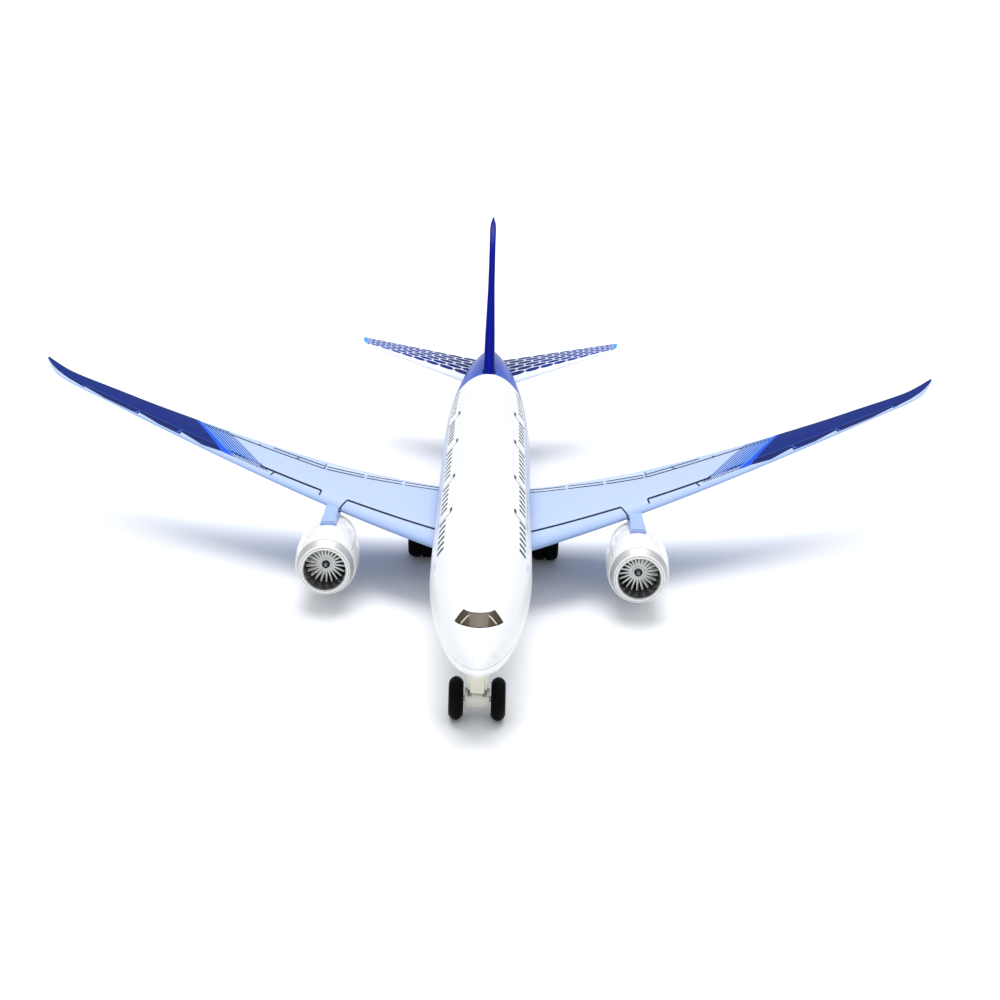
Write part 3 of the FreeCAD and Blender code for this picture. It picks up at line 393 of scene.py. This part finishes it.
def parting_line(paint):
    """Prints the line between the two shells, which rises towards the tail, and returns its groove's mask."""
    rise = ((paint.station - PARTING_RISE_START) / (TAIL_END - PARTING_RISE_START)).at_least(0.0)
    seam = paint.z - (rise * (PARTING_TAIL_Z - PARTING_Z) + PARTING_Z)
    line = seam.size().under(0.07, 0.1)
    paint.print_over(line * 0.6, (0.26, 0.29, 0.36))
    return seam.size().under(0.05, 0.12)


def body_paint(name):
    """White, with window rows, doors, a printed side line, painted reflections low on the sides, the blue tail
    with a painted reflection aft and a scuffed chin.
    """
    paint = Paint(name, WHITE, 0.22)
    paint.print_over(paint.noise(0.1) * 0.3, (0.81, 0.83, 0.87))
    angle = degrees_from_top(paint)
    side_line_and_reflections(paint, angle)
    tail = blue_tail(paint, angle)
    ink = either(cabin_windows(paint, angle), cabin_doors(paint, angle))
    paint.print_over(ink, INK)
    paint.dull(either(ink, tail * 0.8), 0.22)
    groove = parting_line(paint)
    scuffs = paint.noise(1.3, 5.0).over(0.64, 0.05) * paint.station.under(5.0, 3.0) * paint.z.under(17.0, 1.5)
    paint.print_over(scuffs * 0.25, (0.34, 0.33, 0.31))
    paint.raise_by(groove * -0.05)
    paint.raise_by(paint.noise(0.12, 1.0) * 0.01)
    paint.roughness(0.26, 0.32, paint.noise(0.3))
    return paint.done()


def wing_leading(x):
    curl = (x - TIP_LEADING_CURL_X).at_least(0.0) ** 2.4
    return (x - WING_ROOT_X) * WING_SWEEP + WING_ROOT_LEADING + curl * TIP_LEADING_CURL


def wing_trailing(x):
    inner = ((x - WING_ROOT_X) / (WING_KINK_X - WING_ROOT_X)).at_least(0.0).at_most(1.0) ** 1.3
    outboard = (x - WING_KINK_X).at_least(0.0)
    curl = (x - TIP_TRAILING_CURL_X).at_least(0.0) ** 1.4
    curve = outboard * outboard * WING_TRAILING_CURVE
    rear = outboard * WING_TRAILING_SWEEP + curve + curl * TIP_TRAILING_CURL
    return inner * (WING_KINK_TRAILING - WING_ROOT_TRAILING) + WING_ROOT_TRAILING + rear


SLAT_CHORD = 0.165          # share of the chord where the slat line runs
SLAT_TICKS = (66.5, 76.8, 90.5)
INNER_SLAT = (9.0, 28.4)
OUTER_SLAT = (34.1, 48.0)
LINE = 0.42                 # half the width of a printed line that runs along the span
TICK = 0.17                 # half the width of a printed line that runs along the chord
STRIPES = 8                 # in the fan of stripes
TAILS = 9                   # dark tails in front of them
PALE_EDGE = 0.045           # least share of the chord left pale in front of the navy
NOTCH_LENGTH = 5.0
NOTCH_DEPTH = 0.085


def navy_front(x):
    """Share of the chord where the navy starts: further back inboard, in the notches and towards the tip."""
    front = (61.0 - x).at_least(0.0) * 0.014 + PALE_EDGE
    for tick in SLAT_TICKS:
        inboard = tick - x
        notch = (1.0 - inboard / NOTCH_LENGTH) * inboard.over(0.0, 0.2) * NOTCH_DEPTH
        front = front.at_least(notch + PALE_EDGE)
    return front.at_least(((x - 90.0) * 0.03 + PALE_EDGE).at_most(0.24))


def slat_lines(paint, chord, along):
    gap = ((along - SLAT_CHORD) * chord).size() * 0.85
    runs = either(paint.x.within(*INNER_SLAT, 0.1), paint.x.within(*OUTER_SLAT, 0.1))
    run = gap.under(LINE, 0.15) * runs
    curl_x = (SLAT_CHORD - along) / SLAT_CHORD * 1.3 + INNER_SLAT[1]
    curl = (paint.x - curl_x).size().under(TICK, 0.1) * along.within(0.0, SLAT_CHORD, 0.01)
    stop = (paint.x - OUTER_SLAT[0] - (SLAT_CHORD - along) * 3.0).size().under(TICK, 0.1)
    tick = (paint.x - 44.6 - (SLAT_CHORD - along) * 7.0).size().under(TICK, 0.1)
    stop = stop * along.within(0.07, SLAT_CHORD, 0.01)
    tick = tick * along.within(0.06, 0.15, 0.01)
    return either(run, curl, stop, tick)


FLAP_BREAKS = (17.7, 25.9, 34.6)
FLAP_KINK_X = 34.8
FLAP_FRONT = 96.9           # station of the front line inboard
FLAP_GAP = 2.3              # distance from the front line back to the rear one
FLAP_SWEEP = 0.49


def flap_lines(paint):
    """Two lines ahead of the trailing edge, level inboard and swept outboard, with small breaks."""
    outboard = (paint.x - FLAP_KINK_X).at_least(0.0) * FLAP_SWEEP
    front_line = outboard + ((paint.x - 26.0).at_least(0.0).at_most(9.0) * 0.09 + FLAP_FRONT)
    front_mark = (paint.station - front_line).size().under(LINE, 0.15) * paint.x.under(57.0, 0.2)
    rear_mark = (paint.station - front_line - FLAP_GAP).size().under(LINE, 0.15) * paint.x.under(46.8, 0.2)
    lines = either(front_mark, rear_mark)
    for place in FLAP_BREAKS:
        lines = lines * (1.0 - paint.x.near(place, 0.25, 0.1))
    behind = paint.station - front_line
    span_line = paint.x.near(FLAP_KINK_X, TICK, 0.1) * behind.within(-0.2, 4.5, 0.2)
    skew = paint.x - 40.9 + (behind - 1.2) * 0.35
    hinge = skew.size().under(TICK, 0.1) * behind.within(-0.1, 2.8, 0.2)
    notch = paint.x.near(49.8, TICK, 0.1) * behind.within(-0.3, 1.2, 0.2)
    return either(lines, span_line * 0.7, hinge, notch)


def fan_of_stripes(paint, along, top, last_line, bright_line):
    """Fine slanting stripes that grow bluer outboard, with dark tails in front and dashes behind."""
    share = (paint.x - last_line) / (bright_line - last_line)
    inside = share.within(0.0, 1.0, 0.01) * top
    zone = inside * along.within(0.18, 0.955, 0.01)
    paint.print_over(zone * (share * 0.6 + 0.35), SKY)
    beat = (share * STRIPES).fraction()
    paint.print_over(zone * beat.near(0.3, 0.22, 0.14), (0.001, 0.020, 0.24))
    paint.print_over(zone * beat.near(0.8, 0.1, 0.14) * 0.45, (0.60, 0.80, 1.0))
    tails = (share * TAILS).fraction().near(0.5, 0.24, 0.12) * share.within(-0.08, 1.05, 0.02)
    paint.print_over(tails * along.within(0.10, 0.235, 0.01) * top, NAVY)
    dots = (share * STRIPES).fraction().near(0.5, 0.3, 0.1) * inside
    rows = either(along.near(0.84, 0.022, 0.008), along.near(0.925, 0.022, 0.008))
    paint.print_over(dots * rows, INK)


NAVY_SLAT_CHORD = 0.205     # shares of the chord where the panel lines run in the navy
NAVY_FLAP_CHORD = 0.92
NAVY_FLAP_BREAKS = (71.2, 82.5)


def navy_outer_wing(paint, along, chord, top, navy_line):
    """The navy print behind its scalloped front edge, with thin panel lines in it."""
    ahead = along - navy_front(paint.x)
    navy = paint.x.over(navy_line, 0.12) * ahead.over(0.0, 0.008) * top
    paint.print_over(navy, NAVY)
    paint.print_over(navy * along.within(0.21, 0.93, 0.01) * 0.8, NAVY_SHEEN)
    slat_gap = ((along - NAVY_SLAT_CHORD) * chord).size()
    paint.print_over(navy * slat_gap.under(0.16, 0.12), NAVY_DEEP)
    highlight = ((along - NAVY_SLAT_CHORD) * chord - 0.42).size().under(0.09, 0.1) * paint.x.under(90.5, 0.2)
    paint.print_over(navy * highlight * 0.5, NAVY_HIGHLIGHT)
    flap_gap = ((along - NAVY_FLAP_CHORD) * chord).size().under(0.14, 0.12)
    whole = paint.x.under(91.0, 0.3)
    for place in NAVY_FLAP_BREAKS:
        whole = whole * (1.0 - paint.x.near(place, 0.4, 0.1))
    paint.print_over(navy * flap_gap * whole, NAVY_DEEP)
    pale_gap = ((along - NAVY_FLAP_CHORD) * chord - 0.4).size().under(0.09, 0.1)
    paint.print_over(navy * pale_gap * whole * 0.5, NAVY_HIGHLIGHT)
    for tick in SLAT_TICKS:
        lean = (paint.x - tick - (0.2 - along) * 6.0).size().under(TICK * 1.4, 0.1)
        paint.print_over(lean * along.within(0.07, 0.2, 0.02) * top * 0.9, (0.03, 0.11, 0.50))


def slanting_line(paint, x, station, slope):
    """X of a print edge that crosses the wing through this place, moving outboard as it goes aft."""
    return (paint.station - station) * slope + x


def wing_paint(name):
    """Pale blue, with painted shade on its downward faces and along its leading edge, a navy outer wing that
    starts in a bright band and a fan of fine slanting stripes.
    """
    paint = Paint(name, WING_BLUE, 0.35, Specular_IOR_Level=0.05)
    leading = wing_leading(paint.x)
    chord = wing_trailing(paint.x) - leading
    along = (paint.station - leading) / chord
    top = paint.facing_up().over(0.12, 0.1)
    # painted shade: darker where the wing faces down or forward
    paint.print_over(paint.facing_up().under(0.55, 0.9), SHADED_BLUE)
    paint.print_over(paint.noise(3.5, 2.0).within(0.3, 0.7, 0.3) * 0.25, (0.49, 0.59, 0.83))
    # painted shade along the top of the leading edge
    paint.print_over(along.under(0.06, 0.08) * top * 0.5, SHADED_BLUE)
    navy_line = slanting_line(paint, 59.6, 101.8, 0.455)
    bright_line = slanting_line(paint, 58.5, 101.9, 0.49) - (99.0 - paint.station).at_least(0.0) * 0.10
    last_line = slanting_line(paint, 52.85, 101.4, 0.50)
    flap_strip = (paint.station - wing_trailing(paint.x)).within(-3.8, -1.3, 0.4) * paint.x.under(34.5, 0.3)
    paint.print_over(flap_strip * top * 0.6, (0.64, 0.73, 0.90))
    lines = either(slat_lines(paint, chord, along), flap_lines(paint))
    inboard = paint.x.under(last_line + 0.6, 0.1)
    paint.print_over(lines * top * inboard, (0.006, 0.012, 0.03))
    fan_of_stripes(paint, along, top, last_line, bright_line)
    band = paint.x.over(bright_line, 0.1) * paint.x.under(navy_line, 0.1)
    paint.print_over(band * along.over(0.10, 0.01) * top, BRIGHT)
    navy_outer_wing(paint, along, chord, top, navy_line)
    paint.raise_by(lines * top * inboard * -0.03)
    paint.raise_by(paint.noise(5.0, 3.0) * 0.008)
    paint.roughness(0.28, 0.45, paint.noise(2.5))
    return paint.done()


OVAL_ROWS = 6.0
OVAL_FRONT = 0.13           # share of the chord left white in front of the ovals
TIP_BAND_X = 31.0


def tailplane_paint(name):
    """White, with staggered rows of blue ovals that shrink towards a blue tip."""
    paint = Paint(name, (0.84, 0.88, 0.94), 0.3, Specular_IOR_Level=0.06)
    leading = paint.x * TAILPLANE_SWEEP + TAILPLANE_ROOT_LEADING
    chord = TAILPLANE_ROOT_CHORD - paint.x * TAILPLANE_TAPER
    along = (paint.station - leading) / chord
    top = paint.facing_up().over(0.1, 0.1)
    row = (along - OVAL_FRONT) / (1 - OVAL_FRONT) * OVAL_ROWS
    stagger = (row.whole() / 2.0).fraction()
    steps = paint.x * 0.2 + paint.x * paint.x * 0.0032 + stagger
    across = (steps.fraction() - 0.5).size() / 0.475
    deep = (row.fraction() - 0.5).size() / 0.46
    oval = (across ** 2.6 + deep ** 2.4).under(1.0, 0.15)
    oval = oval * along.over(OVAL_FRONT, 0.01) * paint.x.under(TIP_BAND_X, 0.4)
    shade = paint.mixed((paint.x / 30.0).at_most(1.0), (0.001, 0.003, 0.09), (0.003, 0.045, 0.36))
    paint.print_over(oval * top, shade)
    paint.print_over(paint.x.over(TIP_BAND_X, 0.4), (0.08, 0.34, 0.76))
    paint.print_over(along.under(0.06, 0.03) * 0.5, (0.72, 0.80, 0.90))
    paint.raise_by(paint.noise(4.0, 3.0) * 0.008)
    paint.roughness(0.24, 0.4, paint.noise(2.0))
    return paint.done()


HINGE_STATION = 163.0       # foot of the fin's hinge line, and how far it leans back for each millimetre up
HINGE_FOOT_Z = 21.6
HINGE_LEAN = 0.62


def fin_paint(name):
    """Royal blue with a fine hinge line that leans back as it goes up."""
    paint = Paint(name, ROYAL, 0.2, Specular_IOR_Level=0.04)
    paint.print_over(paint.noise(0.2) * 0.5, (0.002, 0.011, 0.30))
    hinge = paint.station - (paint.z - HINGE_FOOT_Z) * HINGE_LEAN - HINGE_STATION
    line = hinge.size().under(0.1, 0.1) * paint.z.within(29.0, 50.0, 0.3)
    paint.print_over(line * 0.8, (0.001, 0.002, 0.05))
    paint.raise_by(line * -0.03)
    paint.raise_by(paint.noise(0.4, 2.0) * 0.015)
    paint.roughness(0.16, 0.28, paint.noise(1.2))
    return paint.done()


# cockpit window, as in the CAD
COCKPIT_FRONT = 6.1         # stations on the centre line
COCKPIT_BACK = 9.3
COCKPIT_HALF_WIDTH = 4.28   # at the station of its front corners
COCKPIT_CORNER = 9.45


def window_glass(name):
    """Smoked glazing with a dark rim, two pale pillars and a painted reflection down its middle."""
    paint = Paint(name, (0.060, 0.048, 0.030), 0.1, IOR=1.49, Specular_IOR_Level=0.2)
    # painted reflection: a paler streak down the middle of the glass
    middle = paint.x.under(1.6, 3.0)
    paint.print_over(middle * paint.noise(1.4, 2.0, (0.3, 2.5, 1)) * 1.0, (0.20, 0.16, 0.105))
    pillar = (paint.x - 1.96 - (8.9 - paint.station) * 1.3).size().under(0.22, 0.2)
    pillar = pillar * paint.station.within(7.9, 9.0, 0.2)
    paint.print_over(pillar * 0.9, (0.74, 0.70, 0.62))
    front = paint.station - (paint.x * paint.x * 0.172 + COCKPIT_FRONT)
    back = paint.x * paint.x * 0.196 + COCKPIT_BACK - paint.station
    side = COCKPIT_HALF_WIDTH - paint.x - (paint.station - COCKPIT_CORNER) * 1.2
    rim = front.at_most(back).at_most(side).under(0.22, 0.15)
    paint.print_over(rim, (0.012, 0.009, 0.012))
    paint.raise_by(paint.noise(0.7, 2.0) * 0.01)
    paint.roughness(0.06, 0.16, paint.noise(2.0))
    return paint.done()


def from_inlet_axis(paint):
    aside = paint.x - INLET_X
    upward = paint.z - INLET_Z
    return (aside * aside + upward * upward).math("SQRT")


def lip_paint(name):
    """White lip with a thin scribed ring, and a throat that is dark inside."""
    paint = Paint(name, (0.80, 0.80, 0.79), 0.25, Specular_IOR_Level=0.4)
    paint.print_over(paint.noise(0.8) * 0.3, (0.72, 0.72, 0.72))
    radius = from_inlet_axis(paint)
    deep = paint.station - INLET_STATION
    paint.print_over(radius.near(LIP_R - 0.34, 0.07, 0.08) * 0.7, (0.14, 0.13, 0.12))
    throat = radius.under(INLET_THROAT_R + 0.12, 0.06) * deep.over(0.3, 0.2)
    paint.print_over(throat * 0.95, (0.03, 0.03, 0.03))
    rim = radius.near(INLET_THROAT_R + 0.17, 0.05, 0.06)
    paint.print_over(rim * 0.6, (0.10, 0.10, 0.10))
    paint.raise_by(paint.noise(1.5, 2.0) * 0.006)
    paint.roughness(0.2, 0.34, paint.noise(1.5))
    return paint.done()


def silver_paint(name):
    """Satin silver with fine flakes."""
    paint = Paint(name, (0.50, 0.50, 0.50), 0.45, Metallic=0.4)
    flakes = paint.noise(9.0, 2.0)
    paint.print_over(flakes * 0.5, (0.60, 0.60, 0.61))
    paint.roughness(0.4, 0.55, flakes)
    paint.raise_by(flakes * 0.006)
    return paint.done()


COWL_SEAM_ANGLE = 58.0      # degrees from the top of the engine


def cowl_paint(name):
    """Glossy white with a seam along each side."""
    paint = Paint(name, (0.87, 0.87, 0.86), 0.22, Coat_Weight=0.3, Coat_Roughness=0.08)
    paint.print_over(paint.noise(0.15) * 0.3, (0.80, 0.80, 0.80))
    aside = paint.x - INLET_X
    upward = paint.z - INLET_Z
    turn = aside.math("ARCTAN2", upward) * (180 / math.pi)
    seam = either(turn.near(-COWL_SEAM_ANGLE, 0.8, 0.6), turn.near(COWL_SEAM_ANGLE, 0.8, 0.6))
    lines = seam * (paint.station - INLET_STATION).over(3.5, 0.3)
    paint.print_over(lines * 0.8, (0.34, 0.31, 0.26))
    paint.raise_by(lines * -0.04)
    paint.raise_by(paint.noise(0.5, 2.0) * 0.012)
    paint.roughness(0.14, 0.28, paint.noise(1.0))
    return paint.done()


def rubber(name, colour, roughness):
    """A nearly shineless surface with slightly paler patches and a fine grain."""
    paint = Paint(name, colour, roughness, Specular_IOR_Level=0.05)
    paint.print_over(paint.noise(0.9, 4.0).over(0.6, 0.3) * 0.25, (0.006, 0.006, 0.006))
    paint.raise_by(paint.noise(6.0, 3.0) * 0.02)
    paint.roughness(roughness * 0.8, min(roughness * 1.3, 0.95), paint.noise(1.5))
    return paint.done()


def drum_plastic(name):
    """Natural, slightly see-through plastic."""
    paint = Paint(name, (0.66, 0.65, 0.58), 0.42, Subsurface_Weight=0.4, Subsurface_Scale=0.002)
    paint.print_over(paint.noise(1.2, 4.0) * 0.5, (0.50, 0.50, 0.46))
    paint.raise_by(paint.noise(2.5, 3.0) * 0.02)
    paint.roughness(0.3, 0.55, paint.noise(2.0))
    return paint.done(0.12)


def make_materials():
    return {
        "body_white": body_paint("body_white"),
        "belly_white": body_paint("belly_white"),
        "window_smoke": window_glass("window_smoke"),
        "fin_blue": fin_paint("fin_blue"),
        "tailplane_white": tailplane_paint("tailplane_white"),
        "leg_ivory": plastic("leg_ivory", (0.78, 0.75, 0.62), 0.4, grain=0.01, edge=0.12),
        "block_natural": drum_plastic("block_natural"),
        "steel": steel("steel", (0.55, 0.55, 0.56), 0.3, (0.05, 1, 1)),
        "gear_nylon": plastic("gear_nylon", (0.80, 0.79, 0.72), 0.45, edge=0.03),
        "casing_black": plastic("casing_black", (0.03, 0.03, 0.033), 0.5, grain=0.03, edge=0.12),
        "screw_steel": steel("screw_steel", (0.40, 0.40, 0.42), 0.35, (1, 1, 1)),
        "wing_blue": wing_paint("wing_blue"),
        "nose_wheel_black": rubber("nose_wheel_black", (0.0015, 0.0015, 0.0015), 0.5),
        "hub_grey": plastic("hub_grey", (0.36, 0.37, 0.39), 0.4, grain=0.01, edge=0.1),
        "tyre_black": rubber("tyre_black", (0.002, 0.002, 0.002), 0.6),
        "lip_white": lip_paint("lip_white"),
        "ring_silver": silver_paint("ring_silver"),
        "cowl_white": cowl_paint("cowl_white"),
        "fan_white": plastic("fan_white", (0.95, 0.95, 0.94), 0.35, edge=0.05),
        "pin_steel": steel("pin_steel", (0.16, 0.16, 0.17), 0.25, (1, 1, 1)),
        "core_dark": plastic("core_dark", (0.006, 0.006, 0.006), 0.6, grain=0.01),
    }


# ---- pieces ------------------------------------------------------------------------------------------------
materials = make_materials()
slot_of = {row["node"]: row["material_slot"] for row in frame["record"]["subparts"]}
for node, piece in frame["nodes"].items():
    piece.data.materials.clear()
    piece.data.materials.append(materials[slot_of[node]])


# ---- camera, light and floor -------------------------------------------------------------------------------
def add_camera():
    """Well ahead of the nose, looking down at it by about 20 degrees."""
    eye = Vector((0.0023, -0.4075, 0.1563))
    target = Vector((-0.0026, -0.0259, 0.0210))
    lens = bpy.data.cameras.new("camera")
    lens.sensor_width = 36
    lens.lens = 72.25
    lens.shift_x = 0.029
    lens.shift_y = -0.0015
    camera = bpy.data.objects.new("camera", lens)
    bpy.context.scene.collection.objects.link(camera)
    aim = (target - eye).to_track_quat("-Z", "Y").to_matrix().to_4x4()
    roll = Matrix.Rotation(math.radians(1.26), 4, "Z")
    camera.matrix_world = Matrix.Translation(eye) @ aim @ roll
    bpy.context.scene.camera = camera


def add_floor():
    """A wide sheet of pale paper."""
    mesh = bpy.data.meshes.new("floor")
    reach = 4.0
    mesh.from_pydata([(-reach, -reach, 0), (reach, -reach, 0), (reach, reach, 0), (-reach, reach, 0)], [],
                     [(0, 1, 2, 3)])
    floor = bpy.data.objects.new("floor", mesh)
    bpy.context.scene.collection.objects.link(floor)
    paint = Paint("floor_paper", (0.93, 0.93, 0.94), 0.6)
    paint.print_over(paint.noise(0.01) * 0.2, (0.91, 0.91, 0.92))
    mesh.materials.append(paint.done())


def add_lights():
    """One wide soft light high up behind the model, and a pale sky all round."""
    light = bpy.data.lights.new("overhead", "SUN")
    light.energy = 2.7
    light.angle = math.radians(50)
    light.color = (1.0, 0.995, 0.985)
    lamp = bpy.data.objects.new("overhead", light)
    lamp.rotation_euler = (math.radians(-22), 0, 0)
    bpy.context.scene.collection.objects.link(lamp)
    add_sky()
    bpy.context.scene.view_settings.view_transform = "Standard"


def add_sky():
    """Brighter overhead and in front of the model than low down behind it."""
    world = bpy.data.worlds.new("studio")
    bpy.context.scene.world = world
    world.use_nodes = True
    tree = world.node_tree
    direction = tree.nodes.new("ShaderNodeSeparateXYZ")
    coordinates = tree.nodes.new("ShaderNodeTexCoord")
    tree.links.new(coordinates.outputs["Generated"], direction.inputs[0])
    forward = Field(tree, direction.outputs[1]) * -1.0
    upward = Field(tree, direction.outputs[2])
    overhead = upward.over(0.55, 0.5) * 0.30
    ahead = forward.over(0.35, 0.6) * 0.30 + forward.over(0.9, 0.2) * 1.6
    brightness = overhead + ahead + 0.34
    sky = tree.nodes["Background"]
    sky.inputs["Color"].default_value = (0.93, 0.965, 1.0, 1)
    tree.links.new(brightness.socket, sky.inputs["Strength"])


add_camera()
add_floor()
add_lights()
